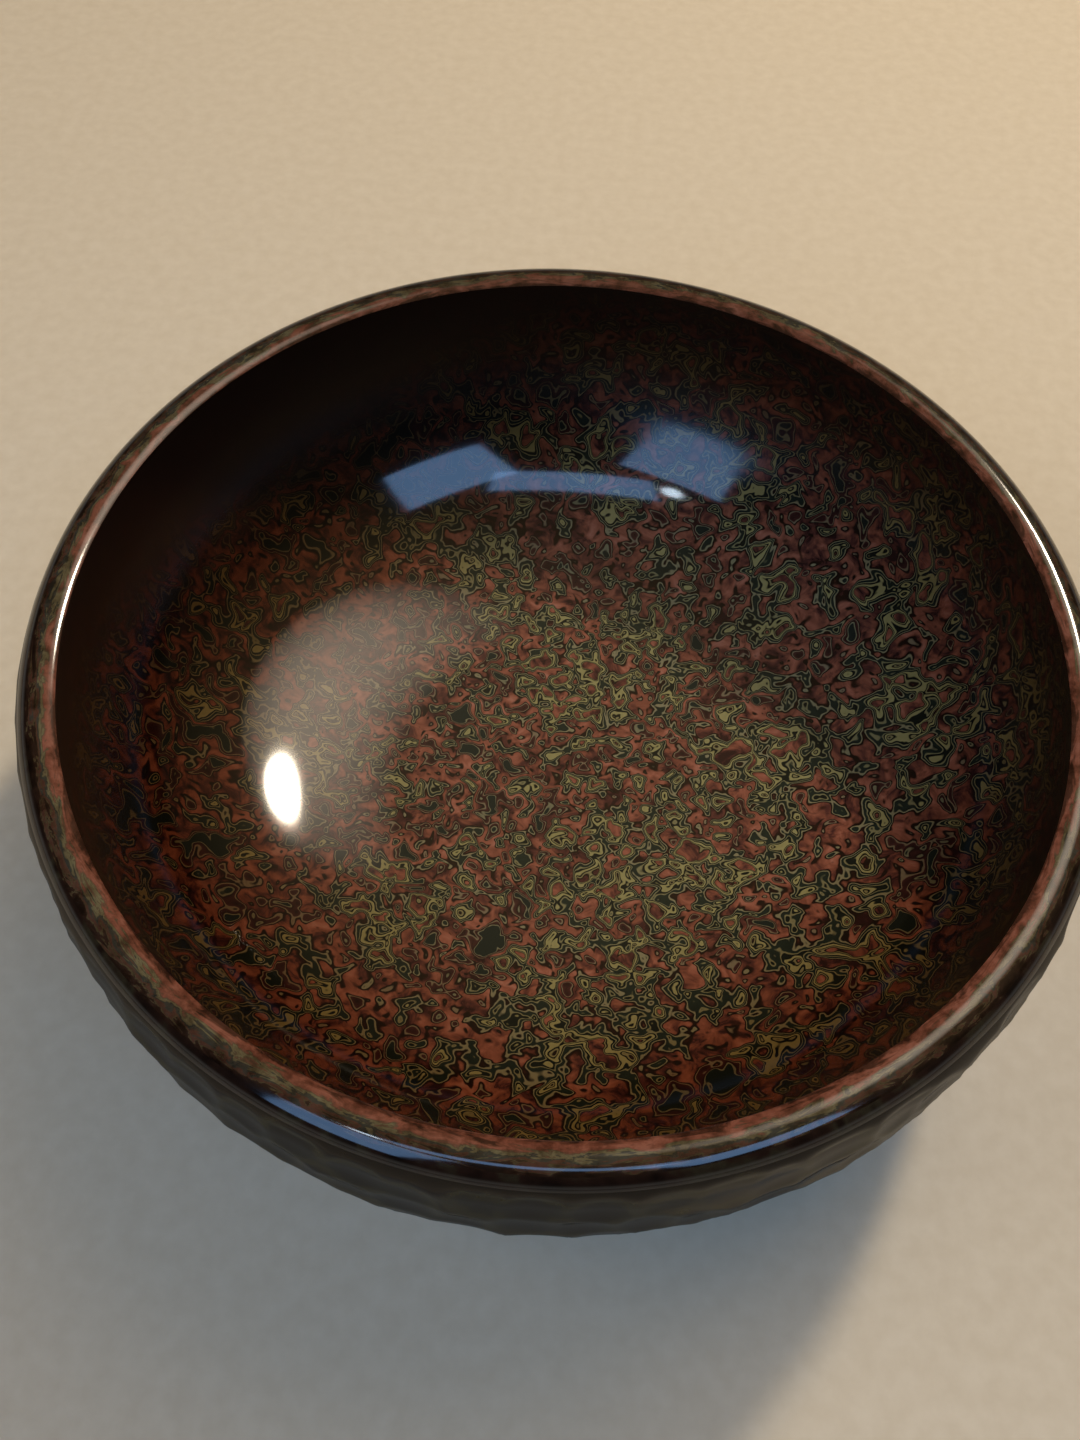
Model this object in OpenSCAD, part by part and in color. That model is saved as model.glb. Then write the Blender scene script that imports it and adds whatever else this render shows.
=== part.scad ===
// Lacquer sweets bowl: a turned wooden blank with cloth, ground and lacquer built up on it.
// The outline is the finished face. Each layer is the strip between that outline at two depths.
// The outer wall is the smooth face that the ridges between its shallow gouge marks touch.
// The bowl's axis is Z, and its foot stands on z = 0.

/* [Bowl] */
// Outer diameter at the belly, the widest place
belly_d = 250.4; // [236:0.2:280]
// Height of the belly above the table
belly_z = 62; // [58:0.5:68]
// Height of the bowl, to the top of its lip
bowl_h = 91.3; // [86:0.1:104]
// Thickness of the finished wall at the widest place inside
wall_t = 9.2; // [7:0.1:11]
// How much higher the widest place inside is than the belly
cavity_rise = 8; // [2:0.5:10]
// Diameter of the floor inside, where the wall's cove bottoms out
floor_d = 60; // [50:1:110]
// Thickness of the floor there
floor_t = 8.5; // [6.5:0.1:12]
// Slope of the dished floor where it meets the cove, in degrees
floor_slope = 6; // [2:0.5:9]

/* [Lip] */
// How far the lip's outer side stands in from the belly
lip_inset = 3; // [1.5:0.1:5]
// Share of that inset that the round shoulder takes, the nearly upright side below it taking the rest
shoulder_share = 0.65; // [0.5:0.05:0.8]
// Radius of the shoulder
shoulder_r = 19; // [16:0.5:24]
// Radius of the lip's round bead
lip_r = 6; // [5.2:0.1:7.5]
// Width of the lip, from its outer side to the crease of the mouth
lip_w = 9.5; // [8:0.1:10]
// Angle on the bead, up from the outside, where the streaked lacquer ends
lip_band = 62; // [40:1:80]

/* [Foot] */
// Outer diameter of the foot ring
foot_d = 118; // [96:1:128]
// Width of the flat between the foot and the rise of the underside
foot_land = 6.7; // [2:0.1:16]
// Height of the foot ring
foot_h = 7.5; // [6:0.1:10]
// Width of the foot ring
foot_w = 9; // [7:0.1:14]
// Depth of the recess inside the foot ring
well_h = 5; // [4.6:0.1:6]
// Radius of the foot's rounded edges
foot_edge = 2.4; // [1.8:0.1:2.6]
// Radius of the hollow where the foot meets the bowl and the recess
foot_fillet = 2; // [1:0.1:2]

/* [Layers] */
// Thickness of the polished lacquer
lacquer_t = 0.9; // [0.5:0.05:1]
// Thickness of the clay and lacquer ground over bare wood
ground_t = 0.6; // [0.5:0.05:0.7]
// Thickness of the hemp cloth, which the ground covers
cloth_t = 0.35; // [0.2:0.05:0.4]
// How far the rim cloth reaches down inside from the middle of the bead
rim_cloth_drop = 8; // [4:0.5:10]
// How far the hemp disc stands in from the edge of the dished floor
floor_cloth_margin = 4; // [2:0.5:20]

/* [Hidden] */
// Steps in a long arc and in a small one
long_steps = 24;
short_steps = 8;
$fn = 120;

belly_r = belly_d / 2;
foot_r = foot_d / 2;
foot_inner_r = foot_r - foot_w;
wood_t = lacquer_t + ground_t;
cloth_top_t = wood_t - cloth_t;

// Inside: the widest place, the cove below it and the dished floor
cavity_r = belly_r - wall_t;
cavity_z = belly_z + cavity_rise;
cove_c = [floor_d / 2, cavity_z];
cove_half = [cavity_r - cove_c.x, cavity_z - foot_h - floor_t];
// The cove takes over from the dish at the place where it has the dish's slope
cove_start_a = atan(cove_half.x / cove_half.y * tan(floor_slope)) - 90;
floor_edge_r = cove_c.x + cove_half.x * cos(cove_start_a);
floor_edge_z = cove_c.y + cove_half.y * sin(cove_start_a);
dish_r = floor_edge_r / sin(floor_slope);
dish_c = [0, floor_edge_z + dish_r * cos(floor_slope)];
floor_edge_a = floor_slope - 90;
floor_cloth_a = asin((floor_edge_r - floor_cloth_margin) / dish_r) - 90;

// Lip: a round bead, with the crease of the mouth on its inner side
lip_c = [belly_r - lip_inset - lip_r, bowl_h - lip_r];
mouth_r = belly_r - lip_inset - lip_w;
mouth_z = lip_c.y + sqrt(lip_r ^ 2 - (lip_c.x - mouth_r) ^ 2);
cloth_edge_z = lip_c.y - rim_cloth_drop;

// Inside above the widest place, the wall leans in on one arc to the crease
lean_in = cavity_r - mouth_r;
lean_r = ((mouth_z - cavity_z) ^ 2 + lean_in ^ 2) / (2 * lean_in);
lean_c = [cavity_r - lean_r, cavity_z];

// Outside: a shoulder from the bead, a side from there to the belly, each tangent to its neighbours, and an oval
// from the belly to the underside
shoulder_a = acos(1 - shoulder_share * lip_inset / (shoulder_r - lip_r));
shoulder_c = lip_c - (shoulder_r - lip_r) * [cos(shoulder_a), sin(shoulder_a)];
side_in = (1 - shoulder_share) * lip_inset;
side_rise = shoulder_c.y - belly_z;
side_r = shoulder_r + (side_rise ^ 2 + side_in ^ 2) / (2 * side_in);
side_a = asin(side_rise / (side_r - shoulder_r));
side_c = [belly_r - side_r, belly_z];
under_c = [foot_r + foot_fillet + foot_land, belly_z];
under_half = [belly_r - under_c.x, belly_z - foot_h];

// Points on a circle about c, from one angle to another
function arc(c, r, from, to, steps) =
    [for (i = [0:steps]) let (a = from + (to - from) * i / steps) c + r * [cos(a), sin(a)]];

// Points on an oval about c, each moved out by t along the oval's normal
function oval(c, half, t, from, to, steps) =
    [for (i = [0:steps])
        let (a = from + (to - from) * i / steps, normal = [half.y * cos(a), half.x * sin(a)])
        c + [half.x * cos(a), half.y * sin(a)] + t * normal / norm(normal)];

function reverse(list) = [for (i = [len(list) - 1:-1:0]) list[i]];

// Closed outline of the layer between an upper and a lower line, both drawn the same way
function strip(upper, lower) = concat(upper, reverse(lower));

// Crease of the mouth at depth t, where the bead's circle meets the leaning wall's circle
function crease(t) =
    let (
        across = lip_c - lean_c,
        along = (norm(across) ^ 2 + (lean_r + t) ^ 2 - (lip_r - t) ^ 2) / (2 * norm(across)),
        away = sqrt((lean_r + t) ^ 2 - along ^ 2),
        unit = across / norm(across)
    )
    lean_c + along * unit + away * [-unit.y, unit.x];

function angle_about(c, p) = atan2(p.y - c.y, p.x - c.x);

// Faces of the bowl at depth t under the finished face, in order from the floor's middle to the recess
function floor_middle(t) = arc(dish_c, dish_r + t, -90, floor_cloth_a, short_steps);
function floor_edge(t) = arc(dish_c, dish_r + t, floor_cloth_a, floor_edge_a, short_steps);
function cove(t) = oval(cove_c, cove_half, t, cove_start_a, 0, long_steps);
function cloth_in_a(t) = asin((cloth_edge_z - lean_c.y) / (lean_r + t));
function lean_low(t) = arc(lean_c, lean_r + t, 0, cloth_in_a(t), short_steps);
function lean_high(t) =
    arc(lean_c, lean_r + t, cloth_in_a(t), angle_about(lean_c, crease(t)), short_steps);
function bead_top(t) = arc(lip_c, lip_r - t, angle_about(lip_c, crease(t)), lip_band, long_steps);
function bead_side(t) = arc(lip_c, lip_r - t, lip_band, shoulder_a, short_steps);
function shoulder(t) = concat(
    arc(shoulder_c, shoulder_r - t, shoulder_a, side_a, short_steps),
    arc(side_c, side_r - t, side_a, 0, short_steps)
);
function under(t) =
    concat(oval(under_c, under_half, -t, 0, -90, long_steps), [[foot_r + foot_fillet, foot_h + t]]);
function foot(t) = concat(
    arc([foot_r + foot_fillet, foot_h - foot_fillet], foot_fillet + t, 90, 180, short_steps),
    arc([foot_r - foot_edge, foot_edge], foot_edge - t, 0, -90, short_steps),
    arc([foot_inner_r + foot_edge, foot_edge], foot_edge - t, -90, -180, short_steps),
    arc([foot_inner_r - foot_fillet, well_h - foot_fillet], foot_fillet + t, 0, 90, short_steps)
);
function well(t) = [[foot_inner_r - foot_fillet, well_h + t], [0, well_h + t]];

function inner_face(t) = concat(floor_middle(t), floor_edge(t), cove(t), lean_low(t), lean_high(t));
function outer_face(t) = concat(bead_side(t), shoulder(t), under(t));

// Turned wooden blank with its foot ring in one piece
module wood_core() {
    color("burlywood") rotate_extrude() polygon(concat(
        inner_face(wood_t), bead_top(wood_t), outer_face(wood_t), foot(wood_t), well(wood_t)
    ));
}

// Hemp strip pasted over the lip, from a little way down inside to where the carved wall starts
module rim_cloth() {
    function over_lip(t) = concat(lean_high(t), bead_top(t), bead_side(t));
    color("wheat") rotate_extrude() polygon(strip(over_lip(cloth_top_t), over_lip(wood_t)));
}

// Hemp disc pasted on the floor
module floor_cloth() {
    color("wheat") rotate_extrude()
        polygon(strip(floor_middle(cloth_top_t), floor_middle(wood_t)));
}

// Hemp strip pasted around the foot ring
module foot_cloth() {
    color("wheat") rotate_extrude() polygon(strip(foot(cloth_top_t), foot(wood_t)));
}

// Ground inside and over the lip, thinner where it covers cloth
module inner_ground() {
    covered = concat(
        floor_middle(cloth_top_t),
        floor_edge(wood_t), cove(wood_t), lean_low(wood_t),
        lean_high(cloth_top_t), bead_top(cloth_top_t)
    );
    color("dimgray") rotate_extrude()
        polygon(strip(concat(inner_face(lacquer_t), bead_top(lacquer_t)), covered));
}

// Ground outside and under the foot, thinner where it covers cloth
module outer_ground() {
    covered = concat(
        bead_side(cloth_top_t),
        shoulder(wood_t), under(wood_t),
        foot(cloth_top_t),
        well(wood_t)
    );
    color("dimgray") rotate_extrude()
        polygon(strip(concat(outer_face(lacquer_t), foot(lacquer_t), well(lacquer_t)), covered));
}

// Many-coloured lacquer inside, polished flat
module inner_lacquer() {
    color("#7a3a28") rotate_extrude() polygon(strip(inner_face(0), inner_face(lacquer_t)));
}

// Streaked lacquer on top of the lip
module rim_lacquer() {
    color("#8a4a38") rotate_extrude() polygon(strip(bead_top(0), bead_top(lacquer_t)));
}

// Dark lacquer over the outer wall
module outer_lacquer() {
    color("#2a2018") rotate_extrude() polygon(strip(outer_face(0), outer_face(lacquer_t)));
}

// Plain black lacquer on the foot ring
module foot_lacquer() {
    color("#15120f") rotate_extrude() polygon(strip(foot(0), foot(lacquer_t)));
}

// Plain black lacquer in the recess of the foot
module well_lacquer() {
    color("#1a1613") rotate_extrude() polygon(strip(well(0), well(lacquer_t)));
}

wood_core();
rim_cloth();
floor_cloth();
foot_cloth();
inner_ground();
outer_ground();
inner_lacquer();
rim_lacquer();
outer_lacquer();
foot_lacquer();
well_lacquer();
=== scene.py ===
import bpy
import numpy as np
from mathutils import Matrix


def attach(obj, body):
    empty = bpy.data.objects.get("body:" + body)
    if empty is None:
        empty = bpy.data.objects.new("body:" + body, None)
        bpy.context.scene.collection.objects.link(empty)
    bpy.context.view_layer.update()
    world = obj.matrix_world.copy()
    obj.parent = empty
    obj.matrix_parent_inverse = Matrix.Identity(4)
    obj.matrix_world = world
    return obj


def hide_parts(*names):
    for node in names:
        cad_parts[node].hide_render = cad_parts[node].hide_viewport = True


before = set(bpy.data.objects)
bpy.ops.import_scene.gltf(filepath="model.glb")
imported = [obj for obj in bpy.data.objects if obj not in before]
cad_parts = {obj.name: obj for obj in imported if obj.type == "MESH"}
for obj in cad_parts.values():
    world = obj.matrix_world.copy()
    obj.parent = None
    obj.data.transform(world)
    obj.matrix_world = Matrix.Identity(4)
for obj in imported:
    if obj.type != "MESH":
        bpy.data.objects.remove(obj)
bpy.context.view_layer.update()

# Turned blank: one block of zelkova with its foot ring in the same piece, sawn from a plank, so its grain
# runs across the bowl. The outer wall is cut all over with a shallow gouge before any coat goes on, so the
# marks are in the wood and every coat outside follows them. Lengths are in millimetres up to the mesh.
belly_r, belly_z = 125.2, 62.0
cavity_r, cavity_z = 116.0, 70.0
cove_half, cove_c = (86.0, 54.0), (30.0, 70.0)
floor_slope = 6.0
lip_r, lip_c = 6.0, (116.2, 85.3)
lip_inset, mouth_r, lip_band = 3.0, 112.7, 62.0
shoulder_r, shoulder_share = 19.0, 0.65
foot_r, foot_inner_r, foot_h, well_h = 59.0, 50.0, 7.5, 5.0
foot_edge, foot_fillet, foot_land = 2.4, 2.0, 6.7
lacquer_t, wood_t = 0.9, 1.5
floor_steps, cove_steps, lean_steps, bead_steps = 18, 34, 8, 12
bead_side_steps, shoulder_steps, side_steps, under_steps, land_steps = 10, 16, 18, 70, 5
edge_steps, well_steps, border_step = 8, 6, 0.03

slope = np.radians(floor_slope)
cove_start = np.arctan(cove_half[0] / cove_half[1] * np.tan(slope)) - np.pi / 2
floor_edge_r = cove_c[0] + cove_half[0] * np.cos(cove_start)
floor_edge_z = cove_c[1] + cove_half[1] * np.sin(cove_start)
dish_r = floor_edge_r / np.sin(slope)
dish_c = (0.0, floor_edge_z + dish_r * np.cos(slope))
mouth_z = lip_c[1] + np.sqrt(lip_r ** 2 - (lip_c[0] - mouth_r) ** 2)
lean_in = cavity_r - mouth_r
lean_r = ((mouth_z - cavity_z) ** 2 + lean_in ** 2) / (2 * lean_in)
lean_c = (cavity_r - lean_r, cavity_z)
shoulder_turn = np.arccos(1 - shoulder_share * lip_inset / (shoulder_r - lip_r))
shoulder_way = np.array([np.cos(shoulder_turn), np.sin(shoulder_turn)])
shoulder_c = np.array(lip_c) - (shoulder_r - lip_r) * shoulder_way
side_in = (1 - shoulder_share) * lip_inset
side_rise = shoulder_c[1] - belly_z
side_r = shoulder_r + (side_rise ** 2 + side_in ** 2) / (2 * side_in)
shoulder_a = np.degrees(shoulder_turn)
side_a = np.degrees(np.arcsin(side_rise / (side_r - shoulder_r)))
under_c = (foot_r + foot_fillet + foot_land, belly_z)
under_half = (belly_r - under_c[0], belly_z - foot_h)


def arc(centre, radius, start, end, count, close_start=False, close_end=False):
    """Points on a circle: the centre plus the radius times the cosine and sine of each angle, in degrees.
    A close end has one more point a little way in, so that the border of a piece keeps its own slope."""
    close = border_step / count
    even = np.linspace(0, 1, count + 1)
    share = np.concatenate([even[:1], [close] * close_start, even[1:-1], [1 - close] * close_end, even[-1:]])
    angle = np.radians(start + (end - start) * share)
    return np.stack([centre[0] + radius * np.cos(angle), centre[1] + radius * np.sin(angle)], axis=1)


def oval(centre, half, t, start, end, count):
    """Points on an oval at even angles, in radians, each moved out by t along the oval's normal."""
    angle = np.linspace(start, end, count + 1)
    ring = np.stack([np.cos(angle), np.sin(angle)], axis=1)
    normal = ring * half[::-1]
    return np.array(centre) + ring * half + t * normal / np.linalg.norm(normal, axis=1, keepdims=True)


def join(*lines):
    """One line from several that each start where the one before ends."""
    return np.concatenate([line[:-1] for line in lines[:-1]] + [lines[-1]])


def crease(t):
    """Angles, on the leaning wall and on the lip's bead, of the place where their circles cross: the circles
    are t under the face, and the place is found from their radii and the distance between their centres."""
    across = np.subtract(lip_c, lean_c)
    apart = np.hypot(*across)
    along = (apart ** 2 + (lean_r + t) ** 2 - (lip_r - t) ** 2) / (2 * apart)
    away = np.sqrt((lean_r + t) ** 2 - along ** 2)
    point = np.array(lean_c) + (along * across + away * np.array([-across[1], across[0]])) / apart
    return [np.degrees(np.arctan2(point[1] - c[1], point[0] - c[0])) for c in (lean_c, lip_c)]


def inner_line(t, fine):
    """Inside outline t under the face: dished floor, cove and leaning wall, from the axis to the crease."""
    floor = arc(dish_c, dish_r + t, -90, floor_slope - 90, floor_steps * fine)
    cove = oval(cove_c, cove_half, t, cove_start, 0, cove_steps * fine)
    lean = arc(lean_c, lean_r + t, 0, crease(t)[0], lean_steps * fine, close_end=True)
    floor[0, 0] = 0.0
    return join(floor, cove, lean)


def bead_line(t, count):
    """Lip outline t under the face: the bead's circle from the crease to the end of the streaked lacquer."""
    return arc(lip_c, lip_r - t, crease(t)[1], lip_band, count, close_start=True, close_end=True)


def foot_line(t):
    """Foot outline t under the face: hollow, outer edge, flat sole, inner edge and hollow of the recess."""
    outer_hollow, inner_hollow = foot_r + foot_fillet, foot_inner_r - foot_fillet
    return np.concatenate([
        arc((outer_hollow, foot_h - foot_fillet), foot_fillet + t, 90, 180, edge_steps, close_start=True),
        arc((foot_r - foot_edge, foot_edge), foot_edge - t, 0, -90, edge_steps),
        arc((foot_inner_r + foot_edge, foot_edge), foot_edge - t, -90, -180, edge_steps),
        arc((inner_hollow, well_h - foot_fillet), foot_fillet + t, 0, 90, edge_steps, close_end=True),
    ])


def well_line(t):
    """Recess outline t under the face: a flat from the foot's hollow to the axis."""
    r = np.linspace(foot_inner_r - foot_fillet, 0, well_steps + 1)
    return np.stack([r, np.full_like(r, well_h + t)], axis=1)


# Outer wall as one run of points with the normal at each: the bead's side, the shoulder, the upright side,
# the underside and the flat by the foot. Distance down the wall counts from the end of the bead.
bead_side = arc((0, 0), 1.0, lip_band, shoulder_a, bead_side_steps, close_start=True)
shoulder = arc((0, 0), 1.0, shoulder_a, side_a, shoulder_steps)
upright = arc((0, 0), 1.0, side_a, 0, side_steps)
under_angle = np.radians(np.linspace(0, -90, under_steps + 1))
under = np.stack([np.cos(under_angle), np.sin(under_angle)], axis=1)
under_normal = under * under_half[::-1]
under_normal /= np.linalg.norm(under_normal, axis=1, keepdims=True)
land_r = np.linspace(under_c[0], foot_r + foot_fillet, land_steps + 1)[1:]
wall_normal = np.concatenate([join(bead_side, shoulder, upright, under_normal),
                              np.tile([0.0, -1.0], (len(land_r), 1))])
wall = np.concatenate([
    (np.array(lip_c) + lip_r * bead_side)[:-1],
    (shoulder_c + shoulder_r * shoulder)[:-1],
    (np.array([belly_r - side_r, belly_z]) + side_r * upright)[:-1],
    np.array(under_c) + under * under_half,
    np.stack([land_r, np.full_like(land_r, foot_h)], axis=1),
])
wall_down = np.concatenate([[0], np.cumsum(np.hypot(*np.diff(wall, axis=0).T))])
wall_down -= wall_down[len(bead_side) - 1]
columns, plain_columns = 640, 360
turn_angle = np.arange(columns) * (2 * np.pi / columns)

# Gouge marks: staggered rows of oval scoops from under the lip to the foot, no two quite alike
mark_row_pitch, mark_first_row, mark_rows, mark_seed = 12.0, 9.5, 10, 41
mark_width, mark_half_length, mark_depth, ridge_height = 12.0, 10.5, 1.35, 0.28
around_play, down_play, tilt_play = 0.2, 2.4, 0.32
width_share, width_play, length_play, depth_play = 0.86, 0.1, 0.14, 0.16
ridge_softness, scoop_limit = 0.06, -3.0
fold_clear, foot_clear = 4.0, 9.0


def gouge_marks(down, angle, radius):
    """Depth of the marks at a distance down the wall and an angle round it: each scoop is its depth times one
    less the squares of the distances across and along it, as shares of its half sizes, less a height that
    brings the ridges between neighbours close to the turned face. The deepest scoop counts, by a soft
    maximum that rounds the ridges as the coats of lacquer do. The marks fade out at the fold and the foot."""
    rng = np.random.default_rng(mark_seed)
    total = np.ones(np.broadcast_shapes(down.shape, angle.shape))
    for row in range(mark_rows):
        middle = mark_first_row + mark_row_pitch * row
        count = int(round(2 * np.pi * np.interp(middle, down[:, 0], radius[:, 0]) / mark_width))
        shift_around, shift_down, tilt, wide, long, deep = rng.uniform(-1, 1, (6, count))
        turn = angle / (2 * np.pi) * count + 0.5 * (row % 2)
        for beside in range(-2, 4):
            slot = np.floor(turn).astype(int) + beside
            mark = slot % count
            aside = (turn - slot - around_play * shift_around[mark]) * (2 * np.pi / count) * radius
            below = down - middle - down_play * shift_down[mark]
            lean = tilt_play * tilt[mark]
            across = aside * np.cos(lean) + below * np.sin(lean)
            along = below * np.cos(lean) - aside * np.sin(lean)
            half_width = mark_width * (width_share + width_play * wide[mark])
            half_length = mark_half_length * (1 + length_play * long[mark])
            depth = mark_depth * (1 + depth_play * deep[mark])
            scoop = depth * (1 - (across / half_width) ** 2 - (along / half_length) ** 2) - ridge_height
            total = total + np.exp(np.maximum(scoop, scoop_limit) / ridge_softness)
    fade = np.clip(np.minimum(down / fold_clear, (down[-1:] - down) / foot_clear), 0, 1)
    return ridge_softness * np.log(total) * fade * fade * (3 - 2 * fade)


carved = gouge_marks(wall_down[:, None], turn_angle[None, :], wall[:, :1])
hidden_step = 4
coarse = np.unique(np.append(np.arange(0, len(wall), hidden_step), len(wall) - 1))


def carved_wall(t, rows):
    """Outer wall t under its carved face: each point goes in along its normal by t and the mark's depth."""
    inward = carved[rows] + t
    r = wall[rows, 0, None] - wall_normal[rows, 0, None] * inward
    z = wall[rows, 1, None] - wall_normal[rows, 1, None] * inward
    return r, z


def around(line, count=columns):
    """Radius and height of an outline, repeated at each angle."""
    return np.repeat(line[:, :1], count, axis=1), np.repeat(line[:, 1:], count, axis=1)


def stack(*bands):
    """One outline from bands of radius and height, in order."""
    return np.concatenate([band[0] for band in bands]), np.concatenate([band[1] for band in bands])


sharp_angle = 40.0


def turned(name, outline, finish, **attributes):
    """Surface of revolution: radius r and height z at angle a go to (r cos a, r sin a, z), in metres. An
    outline that starts on the axis ends on it too, in two poles. Any other closes on itself. The UV map
    holds the distance round the mean circle and the distance along the outline, in metres."""
    r, z = outline
    rows, count = r.shape
    angle = np.arange(count) * (2 * np.pi / count)
    points = np.stack([r * np.cos(angle), r * np.sin(angle), z], axis=-1) / 1000
    poles = r[0, 0] < 1e-6
    index = np.arange(rows * count).reshape(rows, count)
    if poles:
        index[0] = 0
        index[1:-1] -= count - 1
        index[-1] = index[-2, -1] + 1
        points = np.concatenate([points[:1, 0], points[1:-1].reshape(-1, 3), points[-1:, 0]])
    step = np.hypot(np.diff(r[:, 0], append=r[:1, 0]), np.diff(z[:, 0], append=z[:1, 0])) / 1000
    length = np.concatenate([[0], np.cumsum(step)])
    i, j = np.meshgrid(np.arange(rows - poles), np.arange(count), indexing="ij")
    corner_i = np.stack([i, i + 1, i + 1, i], axis=-1)
    corner_j = np.stack([j, j, j + 1, j + 1], axis=-1)
    face = index[corner_i % rows, corner_j % count].reshape(-1, 4)
    u = corner_j * (2 * np.pi / count) * r.mean() / 1000
    uv = np.stack([u, length[corner_i]], axis=-1).reshape(-1, 4, 2)
    keep = np.ones(face.shape, bool)
    if poles:
        keep[:count, 3] = False
        keep[-count:, 2] = False
    mesh = bpy.data.meshes.new(name)
    mesh.vertices.add(points.size // 3)
    mesh.vertices.foreach_set("co", points.ravel())
    mesh.loops.add(int(keep.sum()))
    mesh.loops.foreach_set("vertex_index", face[keep])
    mesh.polygons.add(len(face))
    mesh.polygons.foreach_set("loop_start", np.concatenate([[0], np.cumsum(keep.sum(axis=1))[:-1]]))
    mesh.update(calc_edges=True)
    mesh.uv_layers.new(name="UVMap").data.foreach_set("uv", uv[keep].ravel())
    for key, value in attributes.items():
        mesh.attributes.new(key, "FLOAT", "POINT").data.foreach_set("value", value.ravel())
    mesh.shade_smooth()
    mesh.set_sharp_from_angle(angle=np.radians(sharp_angle))
    mesh.materials.append(finish)
    piece = bpy.data.objects.new(name, mesh)
    bpy.context.scene.collection.objects.link(piece)
    return piece


def linear(code):
    """An sRGB hex colour as linear red, green, blue and full alpha."""
    value = np.array([int(code[k:k + 2], 16) for k in (1, 3, 5)]) / 255
    value = np.where(value <= 0.04045, value / 12.92, ((value + 0.055) / 1.055) ** 2.4)
    return [*value.tolist(), 1.0]


def material(name):
    """A material of that name with an empty node tree."""
    made = bpy.data.materials.new(name)
    made.use_nodes = True
    made.node_tree.nodes.clear()
    return made, made.node_tree


def add(tree, kind, inputs=None, stops=(), **settings):
    """Adds a node with its settings. Each input is a value, or an output socket to link. Stops are a ramp's
    places, with a hex colour or a grey level at each."""
    node = tree.nodes.new("ShaderNode" + kind)
    for key, value in settings.items():
        setattr(node, key, value)
    for key, value in (inputs or {}).items():
        if isinstance(value, bpy.types.NodeSocket):
            tree.links.new(value, node.inputs[key])
        else:
            node.inputs[key].default_value = value
    if stops:
        ramp = node.color_ramp.elements
        while len(ramp) < len(stops):
            ramp.new(1.0)
        for element, (place, shade) in zip(ramp, stops):
            element.position = place
            element.color = linear(shade) if isinstance(shade, str) else (shade, shade, shade, 1.0)
    return node


# Zelkova end to end: growth rings about a line that runs along X under the bowl, 4 mm apart, with the open
# pores of a ring-porous wood as fine dark streaks along the grain. Sealed with raw lacquer, so brown and
# dull. A wave texture repeats each time its scaled coordinate grows by two pi over 20.
zelkova, tree = material("zelkova_sealed_with_raw_lacquer")
ring_pitch, pore_width, pore_length = 4.0, 0.5, 9.0
ring_centre, ring_stretch, wave_rate = (0, 0.04, 0.16), 0.06, 20
place = add(tree, "TexCoord").outputs["Object"]
rounds = add(tree, "Mapping", {"Vector": place, "Location": ring_centre, "Scale": (ring_stretch, 1, 1)})
rings = add(tree, "TexWave", {"Vector": rounds.outputs[0], "Scale": 2 * np.pi / wave_rate * 1000 / ring_pitch,
                              "Distortion": 2.5, "Detail": 2.0, "Detail Scale": 1.2},
            wave_type="RINGS", rings_direction="X")
grained = add(tree, "Mapping", {"Vector": place, "Scale": (pore_width / pore_length, 1, 1)})
pores = add(tree, "TexNoise", {"Vector": grained.outputs[0], "Scale": 1000 / pore_width, "Detail": 2.0})
early = add(tree, "ValToRGB", {"Fac": rings.outputs["Fac"]},
            stops=[(0.0, "#a97f4f"), (0.6, "#9a6f41"), (0.9, "#74502b"), (1.0, "#8d6438")])
pitted = add(tree, "ValToRGB", {"Fac": pores.outputs["Fac"]}, stops=[(0.3, "#6e5233"), (0.46, "#ffffff")])
grain = add(tree, "Mix", {0: 0.7, 6: early.outputs["Color"], 7: pitted.outputs["Color"]},
            data_type="RGBA", blend_type="MULTIPLY")
relief = add(tree, "Bump", {"Strength": 0.3, "Distance": 0.0002, "Height": pores.outputs["Fac"]})
shader = add(tree, "BsdfPrincipled", {"Base Color": grain.outputs[2], "Roughness": 0.55, "IOR": 1.5,
                                      "Normal": relief.outputs["Normal"]})
add(tree, "OutputMaterial", {"Surface": shader.outputs["BSDF"]})

blank = turned("turned_blank", stack(
    around(join(inner_line(wood_t, 1), bead_line(wood_t, bead_steps))[:-1]), carved_wall(wood_t, coarse),
    around(foot_line(wood_t)[1:-1]), around(well_line(wood_t))), zelkova)
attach(blank, "root")
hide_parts("wood_core")

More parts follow.
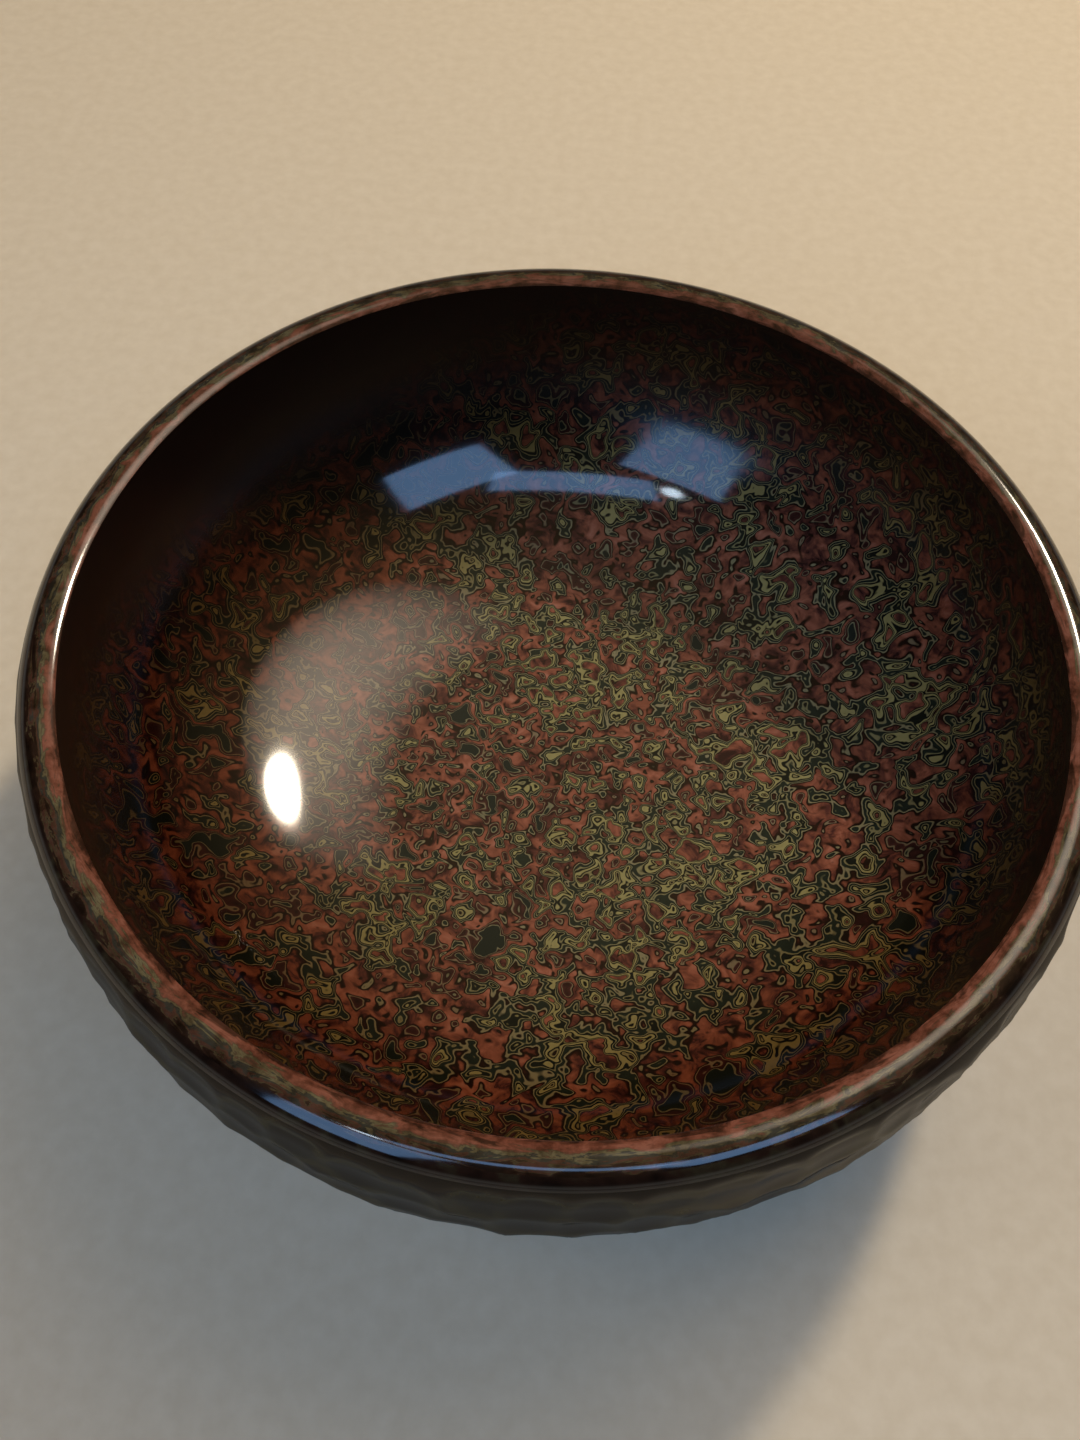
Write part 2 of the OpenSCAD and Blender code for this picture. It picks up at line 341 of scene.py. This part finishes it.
# Hemp cloth: coarse plain-woven hemp soaked in lacquer and pasted on the bare wood where a bowl takes its
# knocks, a disc on the floor and strips over the lip and the foot ring. It all lies hidden under the ground.
# The disc's threads run straight, and a strip's run round its mean radius and across it.
thread_pitch, fuzz_size = 1.1, 0.6
for node, mean_r in [("floor_cloth", None), ("rim_cloth", 117.0), ("foot_cloth", 54.5)]:
    hemp, tree = material("lacquer_soaked_hemp_" + node.split("_")[0])
    place = add(tree, "TexCoord").outputs["Object"]
    part = add(tree, "SeparateXYZ", {0: place})
    if mean_r is None:
        warp, weft = part.outputs["X"], part.outputs["Y"]
    else:
        turn = add(tree, "Math", {0: part.outputs["Y"], 1: part.outputs["X"]}, operation="ARCTAN2")
        warp = add(tree, "Math", {0: turn.outputs[0], 1: mean_r / 1000}, operation="MULTIPLY").outputs[0]
        plan = add(tree, "VectorMath", {0: place, 1: (1, 1, 0)}, operation="MULTIPLY")
        reach = add(tree, "VectorMath", {0: plan.outputs[0]}, operation="LENGTH")
        across = add(tree, "Math", {0: part.outputs["Z"], 1: reach.outputs["Value"]}, operation="ADD")
        weft = across.outputs[0]
    threads = []
    for run in (warp, weft):
        wave = add(tree, "Math", {0: run, 1: np.pi * 1000 / thread_pitch}, operation="MULTIPLY")
        threads.append(add(tree, "Math", {0: wave.outputs[0]}, operation="SINE").outputs[0])
    over = add(tree, "Math", {0: threads[0], 1: threads[1]}, operation="MULTIPLY")
    fuzz = add(tree, "TexNoise", {"Vector": place, "Scale": 1000 / fuzz_size, "Detail": 3.0})
    height = add(tree, "Math", {0: fuzz.outputs["Fac"], 1: 0.5, 2: over.outputs[0]}, operation="MULTIPLY_ADD")
    colour = add(tree, "ValToRGB", {"Fac": height.outputs[0]},
                 stops=[(0.0, "#3b2b1a"), (0.35, "#7a6340"), (0.8, "#9c8458")])
    relief = add(tree, "Bump", {"Strength": 0.6, "Distance": 0.0003, "Height": height.outputs[0]})
    shader = add(tree, "BsdfPrincipled", {"Base Color": colour.outputs["Color"], "Roughness": 0.7, "IOR": 1.5,
                                          "Normal": relief.outputs["Normal"]})
    add(tree, "OutputMaterial", {"Surface": shader.outputs["BSDF"]})
    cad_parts[node].material_slots[0].material = hemp

# Ground: fired clay powder in raw lacquer, spread with a spatula over wood and cloth and rubbed flat with a
# stone. It is grey-black and dull, with fine grit and faint rubbing marks. Outside it follows the gouge
# marks, and on the foot it lies over the cloth.
ground, tree = material("clay_and_lacquer_ground")
grit_size, rub_size = 0.5, 14.0
place = add(tree, "TexCoord").outputs["Object"]
grit = add(tree, "TexNoise", {"Vector": place, "Scale": 1000 / grit_size, "Detail": 2.0})
rubs = add(tree, "TexNoise", {"Vector": place, "Scale": 1000 / rub_size, "Detail": 4.0, "Distortion": 1.0})
mottle = add(tree, "Mix", {0: 0.5, 2: grit.outputs["Fac"], 3: rubs.outputs["Fac"]}, data_type="FLOAT")
colour = add(tree, "ValToRGB", {"Fac": mottle.outputs[0]}, stops=[(0.35, "#2a2724"), (0.65, "#443f39")])
relief = add(tree, "Bump", {"Strength": 0.3, "Distance": 0.0001, "Height": grit.outputs["Fac"]})
shader = add(tree, "BsdfPrincipled", {"Base Color": colour.outputs["Color"], "Roughness": 0.85, "IOR": 1.5,
                                      "Normal": relief.outputs["Normal"]})
add(tree, "OutputMaterial", {"Surface": shader.outputs["BSDF"]})
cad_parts["inner_ground"].material_slots[0].material = ground

cloth_top_t = 1.15
ground_r, ground_z = carved_wall(wood_t, coarse)
outer_ground = turned("carved_ground", stack(
    around(well_line(wood_t)[::-1]), around(foot_line(cloth_top_t)[::-1]),
    (ground_r[::-1], ground_z[::-1]), carved_wall(lacquer_t, coarse),
    around(foot_line(lacquer_t)[1:-1]), around(well_line(lacquer_t))), ground)
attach(outer_ground, "root")
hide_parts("outer_ground")

# Inside lacquer: dabs of thick dark lacquer stand up in bumps, coats of olive, green-black, maroon and brick
# red go over them, and all is polished flat, so bumps and hollows show as nested rings of the coats cut
# through. Up the steep wall the colours sink to deep brown by the mouth, partly from clear amber lacquer
# left there and partly as painted shade.
polished, tree = material("polished_layered_urushi")
dab_size, wall_dab_size, drift_size, red_size = 5.1, 6.6, 28.0, 6.0
steep_from, steep_to = 19.0, 30.0
drift_share, painted_light_lean, coat_shift = 0.7, 0.25, -0.35
amber_shade_from, amber_shade_to, amber_shade_lean_x, amber_shade_lean_y = 20.0, 88.0, -0.14, -0.06
slant_full, slant_rise = -0.006, 21.0
gloss_from, gloss_to = 40.0, 56.0
place = add(tree, "TexCoord").outputs["Object"]
part = add(tree, "SeparateXYZ", {0: place})
small = add(tree, "TexNoise", {"Vector": place, "Scale": 1000 / dab_size, "Detail": 1.0, "Distortion": 0.45})
large = add(tree, "TexNoise", {"Vector": place, "Scale": 1000 / wall_dab_size, "Detail": 1.2,
                               "Distortion": 0.5})
steep = add(tree, "MapRange", {"Value": part.outputs["Z"], "From Min": steep_from / 1000,
                               "From Max": steep_to / 1000})
dabs = add(tree, "Mix", {0: steep.outputs[0], 2: small.outputs["Fac"], 3: large.outputs["Fac"]},
           data_type="FLOAT")
drift = add(tree, "TexNoise", {"Vector": place, "Scale": 1000 / drift_size, "Detail": 2.0, "Roughness": 0.6})
height = add(tree, "Math", {0: drift.outputs["Fac"], 1: drift_share, 2: dabs.outputs[0]},
             operation="MULTIPLY_ADD")
# Painted light: the level leans with X, so the coats turn toward olive on the +X side, the greener cast that
# side takes in the lamp's shade under cool light.
tilt = add(tree, "Math", {0: part.outputs["X"], 1: painted_light_lean, 2: coat_shift}, operation="MULTIPLY_ADD")
level = add(tree, "Math", {0: height.outputs[0], 1: tilt.outputs[0]}, operation="ADD")
coats = add(tree, "ValToRGB", {"Fac": level.outputs[0]}, stops=[
    (0.280, "#1a201a"), (0.286, "#69644a"), (0.298, "#69644a"), (0.304, "#241310"), (0.352, "#3d201b"),
    (0.357, "#6e6049"), (0.368, "#6e6049"), (0.374, "#1c120d"), (0.400, "#26140c"), (0.500, "#26140c"),
    (0.526, "#17100b"), (0.531, "#756d50"), (0.543, "#756d50"), (0.549, "#1a2018"), (0.588, "#1f261d"),
    (0.593, "#706948"), (0.603, "#706948"), (0.609, "#12150f"), (0.634, "#171a13"), (0.640, "#857c50"),
    (0.672, "#7e764a"), (0.678, "#12130d"), (0.692, "#15160f"), (0.697, "#746b46"), (0.706, "#746b46"),
    (0.712, "#1a110c"), (0.730, "#26140c")])
field = add(tree, "ValToRGB", {"Fac": level.outputs[0]}, stops=[
    (0.388, "#000000"), (0.408, "#ffffff"), (0.484, "#ffffff"), (0.502, "#000000"), (0.722, "#000000"),
    (0.732, "#ffffff")])
smoke = add(tree, "TexNoise", {"Vector": place, "Scale": 1000 / red_size, "Detail": 3.5, "Roughness": 0.6,
                               "Distortion": 0.8})
reds = add(tree, "ValToRGB", {"Fac": smoke.outputs["Fac"]}, stops=[
    (0.34, "#2a1513"), (0.43, "#4c2922"), (0.52, "#70402f"), (0.62, "#87503d"), (0.72, "#93604d")])
colour = add(tree, "Mix", {0: field.outputs["Color"], 6: coats.outputs["Color"], 7: reds.outputs["Color"]},
             data_type="RGBA")

# Clear amber lacquer over the coats, with painted shade: up the wall the colours darken, sooner on one side,
# and most along one slant across the bowl, partly the amber's tint and partly painted shade of the steep
# wall. By the mouth they hide the coats. The floor has the finest polish.
leaned = add(tree, "Math", {0: part.outputs["X"], 1: amber_shade_lean_x, 2: part.outputs["Z"]},
             operation="MULTIPLY_ADD")
swayed = add(tree, "Math", {0: part.outputs["Y"], 1: amber_shade_lean_y, 2: leaned.outputs[0]},
             operation="MULTIPLY_ADD")
slant = add(tree, "Math", {0: part.outputs["X"], 1: part.outputs["Y"]}, operation="MULTIPLY")
extra = add(tree, "MapRange", {"Value": slant.outputs[0], "From Max": slant_full,
                               "To Max": slant_rise / 1000})
amber_shade_z = add(tree, "Math", {0: swayed.outputs[0], 1: extra.outputs[0]}, operation="ADD")
rise = add(tree, "MapRange", {"Value": amber_shade_z.outputs[0], "From Min": amber_shade_from / 1000,
                              "From Max": amber_shade_to / 1000})
# Amber tint and painted shade: the coats are multiplied darker as the wall rises.
amber_and_painted_shade = add(tree, "ValToRGB", {"Fac": rise.outputs[0]}, stops=[
    (0.0, "#ffffff"), (0.3, "#c6b09b"), (0.5, "#987d64"), (0.7, "#7c6049"), (1.0, "#634731")])
sunk_and_shaded = add(tree, "Mix", {0: 1.0, 6: colour.outputs[2], 7: amber_and_painted_shade.outputs["Color"]}, data_type="RGBA",
           blend_type="MULTIPLY")
# Painted shade: by the mouth the colours go on to deep brown.
thick_amber_and_shade = add(tree, "MapRange", {"Value": rise.outputs[0], "From Min": 0.72, "To Max": 0.85})
browned_and_shaded = add(tree, "Mix", {0: thick_amber_and_shade.outputs[0], 6: sunk_and_shaded.outputs[2], 7: linear("#25150a")}, data_type="RGBA")
haze = add(tree, "MapRange", {"Value": part.outputs["Z"], "From Min": gloss_from / 1000,
                              "From Max": gloss_to / 1000, "To Min": 0.07, "To Max": 0.32})
shader = add(tree, "BsdfPrincipled", {"Base Color": browned_and_shaded.outputs[2], "Roughness": haze.outputs[0],
                                      "IOR": 1.54})
add(tree, "OutputMaterial", {"Surface": shader.outputs["BSDF"]})

inside = turned("inside_lacquer", stack(
    around(inner_line(0, 2), plain_columns), around(inner_line(lacquer_t, 1)[::-1], plain_columns)), polished)
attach(inside, "root")
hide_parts("inner_lacquer")

# Lip lacquer: the same coats on the round lip, where they are wiped round with the spatula as the bowl
# turns. The polish cuts them at a slant, so they lie in wavy bands: rose by the mouth, then olive and slate,
# and dark brown at the fold, where the plain dark lacquer starts. The far side is darker, as painted shade.
streaked, tree = material("polished_streaked_urushi")
streak_width, streak_length, band_width, mottle_size = 2.6, 10.0, 6.7, 5.0
streak_sway, far_shade_from, far_shade_to = 1.5, -50.0, 120.0
coords = add(tree, "TexCoord")
plan = add(tree, "SeparateXYZ", {0: coords.outputs["Object"]})
run = add(tree, "SeparateXYZ", {0: coords.outputs["UV"]})
wiped = add(tree, "CombineXYZ", {"X": plan.outputs["X"], "Y": plan.outputs["Y"], "Z": run.outputs["Y"]})
drawn = add(tree, "Mapping", {"Vector": wiped.outputs[0],
                              "Scale": (streak_width / streak_length, streak_width / streak_length, 1)})
streaks = add(tree, "TexNoise", {"Vector": drawn.outputs[0], "Scale": 1000 / streak_width, "Detail": 4.5,
                                 "Roughness": 0.62, "Distortion": 0.8})
outward = add(tree, "MapRange", {"Value": run.outputs["Y"], "From Max": band_width / 1000, "To Min": -0.75,
                                 "To Max": 0.25})
band = add(tree, "Math", {0: streaks.outputs["Fac"], 1: streak_sway, 2: outward.outputs[0]},
           operation="MULTIPLY_ADD")
colour = add(tree, "ValToRGB", {"Fac": band.outputs[0]}, stops=[
    (0.0, "#42281d"), (0.10, "#6a4031"), (0.20, "#805040"), (0.32, "#754637"), (0.38, "#5f4233"),
    (0.42, "#4b4230"), (0.45, "#625b41"), (0.53, "#544e37"), (0.56, "#2d2f29"), (0.65, "#37342c"),
    (0.69, "#4e3226"), (0.76, "#412a20"), (0.79, "#4a432c"), (0.83, "#2e1e16"), (0.92, "#24170f"),
    (1.0, "#1c120c")])
mottle = add(tree, "TexNoise", {"Vector": coords.outputs["Object"], "Scale": 1000 / mottle_size,
                                "Detail": 4.0, "Roughness": 0.65})
dim = add(tree, "ValToRGB", {"Fac": mottle.outputs["Fac"]}, stops=[
    (0.36, "#a09286"), (0.5, "#e2d8d0"), (0.62, "#ffffff")])
dimmed = add(tree, "Mix", {0: 1.0, 6: colour.outputs["Color"], 7: dim.outputs["Color"]}, data_type="RGBA",
             blend_type="MULTIPLY")
# Painted shade: toward the far side (+Y) the lip's colour is mixed up to 35% toward near black.
far_side_painted_shade = add(tree, "MapRange", {"Value": plan.outputs["Y"], "From Min": far_shade_from / 1000,
                             "From Max": far_shade_to / 1000, "To Max": 0.35})
far_side_shaded = add(tree, "Mix", {0: far_side_painted_shade.outputs[0], 6: dimmed.outputs[2], 7: linear("#120b07")}, data_type="RGBA")
shader = add(tree, "BsdfPrincipled", {"Base Color": far_side_shaded.outputs[2], "Roughness": 0.09, "IOR": 1.54})
add(tree, "OutputMaterial", {"Surface": shader.outputs["BSDF"]})

fine_bead_steps = 32
lip = turned("lip_lacquer", stack(
    around(bead_line(0, fine_bead_steps)), around(bead_line(lacquer_t, bead_steps)[::-1])), streaked)
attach(lip, "root")
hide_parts("rim_lacquer")

# Outside lacquer: plain dark brown lacquer over the gouge marks, satin under one thin clear coat. The polish
# cuts through to an olive coat along the ridges alone, in a worn and broken line, so the marks have faint
# olive edges. The piece's own attribute gives the marks' depth in millimetres.
dark, tree = material("dark_urushi_over_gouge_marks")
wear_size, wear_share, cut_from, cut_to = 5.0, 1.3, 0.6, 1.8
place = add(tree, "TexCoord").outputs["Object"]
wear = add(tree, "TexNoise", {"Vector": place, "Scale": 1000 / wear_size, "Detail": 5.0, "Distortion": 0.6})
depth = add(tree, "Attribute", attribute_name="mark_depth", attribute_type="GEOMETRY")
cut = add(tree, "Math", {0: wear.outputs["Fac"], 1: wear_share, 2: depth.outputs["Fac"]},
          operation="MULTIPLY_ADD")
share = add(tree, "MapRange", {"Value": cut.outputs[0], "From Min": cut_from, "From Max": cut_to})
colour = add(tree, "ValToRGB", {"Fac": share.outputs[0]}, stops=[
    (0.0, "#170f08"), (0.2, "#1e150a"), (0.4, "#362e18"), (0.54, "#312914"), (0.72, "#201a0d"),
    (0.95, "#1d150b")])
haze = add(tree, "MapRange", {"Value": share.outputs[0], "To Min": 0.28, "To Max": 0.45})
shader = add(tree, "BsdfPrincipled", {"Base Color": colour.outputs["Color"], "Roughness": haze.outputs[0],
                                      "IOR": 1.54, "Specular IOR Level": 0.0, "Coat Weight": 0.36,
                                      "Coat Roughness": 0.14, "Coat IOR": 1.54})
add(tree, "OutputMaterial", {"Surface": shader.outputs["BSDF"]})

# The smooth strip between the fold and the first marks is the same dark lacquer, rubbed to the high gloss of
# the lip, with clouds of brown and olive in it.
fold, tree = material("polished_dark_urushi")
cloud_size = 9.0
place = add(tree, "TexCoord").outputs["Object"]
cloud = add(tree, "TexNoise", {"Vector": place, "Scale": 1000 / cloud_size, "Detail": 5.0})
colour = add(tree, "ValToRGB", {"Fac": cloud.outputs["Fac"]}, stops=[
    (0.35, "#110a07"), (0.5, "#21140e"), (0.58, "#2a2418"), (0.66, "#180f0a")])
haze = add(tree, "MapRange", {"Value": cloud.outputs["Fac"], "To Min": 0.06, "To Max": 0.12})
shader = add(tree, "BsdfPrincipled", {"Base Color": colour.outputs["Color"], "Roughness": haze.outputs[0],
                                      "IOR": 1.54})
add(tree, "OutputMaterial", {"Surface": shader.outputs["BSDF"]})

back_r, back_z = carved_wall(lacquer_t, coarse)
outside = turned("outside_lacquer", stack(
    carved_wall(0, np.arange(len(wall))), (back_r[::-1], back_z[::-1])), dark,
    mark_depth=np.concatenate([carved, carved[coarse][::-1]]))
outside.data.materials.append(fold)
outside_rows = len(outside.data.polygons) // columns
on_fold = np.arange(outside_rows) < len(bead_side) - 1
outside.data.polygons.foreach_set("material_index", np.repeat(on_fold, columns).astype(np.int32))
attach(outside, "root")
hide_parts("outer_lacquer")

# Foot lacquer: plain black lacquer on the foot ring that the bowl stands on and in the recess inside it. It
# is brushed on last and left unpolished, so its gloss is a little uneven.
black, tree = material("plain_black_urushi")
brush_size = 8.0
place = add(tree, "TexCoord").outputs["Object"]
brush = add(tree, "TexNoise", {"Vector": place, "Scale": 1000 / brush_size, "Detail": 4.0, "Distortion": 0.5})
colour = add(tree, "ValToRGB", {"Fac": brush.outputs["Fac"]}, stops=[(0.35, "#100d0b"), (0.65, "#1b1613")])
haze = add(tree, "MapRange", {"Value": brush.outputs["Fac"], "To Min": 0.1, "To Max": 0.25})
shader = add(tree, "BsdfPrincipled", {"Base Color": colour.outputs["Color"], "Roughness": haze.outputs[0],
                                      "IOR": 1.54})
add(tree, "OutputMaterial", {"Surface": shader.outputs["BSDF"]})

foot = turned("foot_ring_lacquer", stack(
    around(foot_line(0), plain_columns), around(foot_line(lacquer_t)[::-1], plain_columns)), black)
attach(foot, "root")
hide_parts("foot_lacquer")
well = turned("recess_lacquer", stack(
    around(well_line(lacquer_t)[::-1], plain_columns), around(well_line(0), plain_columns)), black)
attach(well, "root")
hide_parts("well_lacquer")

# Studio: a pale floor, seen through from below, and a dim surround that is pale at the floor's height and
# warm overhead. A round lamp stands over the far side of the bowl, three cool softboxes and a small spot on
# the near side, and a soft fill on the left. Lengths are in metres from here on, apart from the fibres.
pale, tree = material("pale_floor")
fibre_size, floor_half = 5.0, 4.0
place = add(tree, "TexCoord").outputs["Object"]
fibre = add(tree, "TexNoise", {"Vector": place, "Scale": 1000 / fibre_size, "Detail": 3.0})
colour = add(tree, "ValToRGB", {"Fac": fibre.outputs["Fac"]}, stops=[(0.3, "#c6b89f"), (0.7, "#cdc0a8")])
matte = add(tree, "BsdfPrincipled", {"Base Color": colour.outputs["Color"], "Roughness": 0.8})
clear = add(tree, "BsdfTransparent")
facing = add(tree, "NewGeometry")
shown = add(tree, "MixShader", {0: facing.outputs["Backfacing"], 1: matte.outputs[0], 2: clear.outputs[0]})
add(tree, "OutputMaterial", {"Surface": shown.outputs[0]})
floor_mesh = bpy.data.meshes.new("studio_floor")
floor_mesh.from_pydata([(-floor_half, -floor_half, 0), (floor_half, -floor_half, 0),
                        (floor_half, floor_half, 0), (-floor_half, floor_half, 0)], [], [(0, 1, 2, 3)])
floor_mesh.materials.append(pale)
studio_floor = bpy.data.objects.new("studio_floor", floor_mesh)
bpy.context.scene.collection.objects.link(studio_floor)


def direction(azimuth, elevation):
    """The unit vector from the bowl at an azimuth and an elevation in degrees."""
    a, e = np.radians([azimuth, elevation])
    return np.array([np.cos(a) * np.cos(e), np.sin(a) * np.cos(e), np.sin(e)])


world = bpy.data.worlds.new("studio")
bpy.context.scene.world = world
world.use_nodes = True
tree = world.node_tree
tree.nodes.clear()
sight = add(tree, "TexCoord").outputs["Generated"]
height = add(tree, "SeparateXYZ", {0: sight})
surround = add(tree, "ValToRGB", {"Fac": height.outputs["Z"]}, stops=[
    (0.0, "#a8a49c"), (0.12, "#8f8b84"), (0.22, "#3a3732"), (0.32, "#1f1c19"), (0.6, "#1b1815"),
    (1.0, "#2a251d")])
by_lamp = add(tree, "VectorMath", {0: sight, 1: direction(51, 66).tolist()}, operation="DOT_PRODUCT")
overhead = add(tree, "ValToRGB", {"Fac": by_lamp.outputs["Value"]}, stops=[
    (0.3, "#000000"), (0.7, "#3f3626"), (0.88, "#756446"), (1.0, "#9c8862")])
lit = add(tree, "Mix", {0: 1.0, 6: surround.outputs["Color"], 7: overhead.outputs["Color"]},
          data_type="RGBA", blend_type="ADD")
background = add(tree, "Background", {"Color": lit.outputs[2], "Strength": 1.0})
add(tree, "OutputWorld", {"Surface": background.outputs[0]})

aim_z = 0.05


def lamp(name, azimuth, elevation, distance, size, level, code, halo=(), shine=True):
    """A soft area light that faces the bowl from a direction in degrees: a disc by its diameter, or a
    rectangle by its two sides. Level is its radiance. A halo gives the share of that level at places from
    the middle of the light to its corner. A light without shine leaves no highlight."""
    toward = direction(azimuth, elevation)
    sideways = np.cross([0, 0, 1], toward)
    sideways /= np.linalg.norm(sideways)
    light = bpy.data.lights.new(name, "AREA")
    light.shape = "RECTANGLE" if len(size) == 2 else "DISK"
    light.size = size[0]
    area = np.pi * size[0] ** 2 / 4
    if len(size) == 2:
        light.size_y = size[1]
        area = size[0] * size[1]
    light.energy = float(level * np.pi * area)
    light.color = linear(code)[:3]
    if halo:
        light.use_nodes = True
        tree = light.node_tree
        tree.nodes.clear()
        where = add(tree, "NewGeometry").outputs["Parametric"]
        away = add(tree, "VectorMath", {0: where, 1: (0.5, 0.5, 0)}, operation="DISTANCE")
        share = add(tree, "ValToRGB", {"Fac": away.outputs["Value"]}, stops=halo)
        glow = add(tree, "Emission", {"Color": share.outputs["Color"]})
        add(tree, "OutputLight", {"Surface": glow.outputs[0]})
    made = bpy.data.objects.new(name, light)
    matrix = np.eye(4)
    matrix[:3, :3] = np.stack([sideways, np.cross(toward, sideways), toward], axis=1)
    matrix[:3, 3] = toward * distance + [0, 0, aim_z]
    made.matrix_world = Matrix(matrix.tolist())
    made.visible_camera = False
    made.visible_glossy = shine
    bpy.context.scene.collection.objects.link(made)


lamp("lamp_shade", 51, 60, 1.5, (0.91,), 4.2, "#ffe9d2",
     halo=[(0.0, 1.0), (0.25, 0.75), (0.38, 0.42), (0.47, 0.16), (0.5, 0.06)])
lamp("lamp_bulb", 58, 49, 1.5, (0.2,), 300.0, "#ffeed4",
     halo=[(0.0, 1.0), (0.2, 0.8), (0.36, 0.4), (0.5, 0.03)])
lamp("softbox_left", -48, 54, 1.6, (0.56, 0.5), 4.2, "#92c3ff")
lamp("softbox_right", -119, 41, 1.6, (0.55, 0.9), 3.6, "#92c3ff")
lamp("softbox_strip", -88, 66, 1.6, (0.75, 0.22), 4.0, "#92c3ff")
lamp("small_spot", -123, 61, 1.6, (0.1,), 18.0, "#d8ecff")
lamp("fill_left", 190, 42, 1.6, (0.8, 0.8), 2.4, "#fff4e6", shine=False)

# Camera: it stands on the near side of the bowl, a third of a metre up, and looks down into it, turned and
# tilted by a few degrees.
camera_place, camera_lens, camera_sensor = (0, -0.1591, 0.3172), 30.505, 36.0
pitch, roll, yaw = np.radians([59.5, 3.1, -1.8])
ahead = np.array([np.sin(yaw), np.cos(yaw), 0])
level_right = np.array([np.cos(yaw), -np.sin(yaw), 0])
up = np.array([0, 0, 1.0])
forward = np.cos(pitch) * ahead - np.sin(pitch) * up
level_up = np.sin(pitch) * ahead + np.cos(pitch) * up
camera_right = np.cos(roll) * level_right + np.sin(roll) * level_up
matrix = np.eye(4)
matrix[:3, :3] = np.stack([camera_right, np.cross(camera_right, forward), -forward], axis=1)
matrix[:3, 3] = camera_place
camera = bpy.data.cameras.new("camera")
camera.lens = camera_lens
camera.sensor_width = camera_sensor
eye = bpy.data.objects.new("camera", camera)
eye.matrix_world = Matrix(matrix.tolist())
bpy.context.scene.collection.objects.link(eye)
bpy.context.scene.camera = eye
bpy.context.scene.view_settings.view_transform = "Standard"
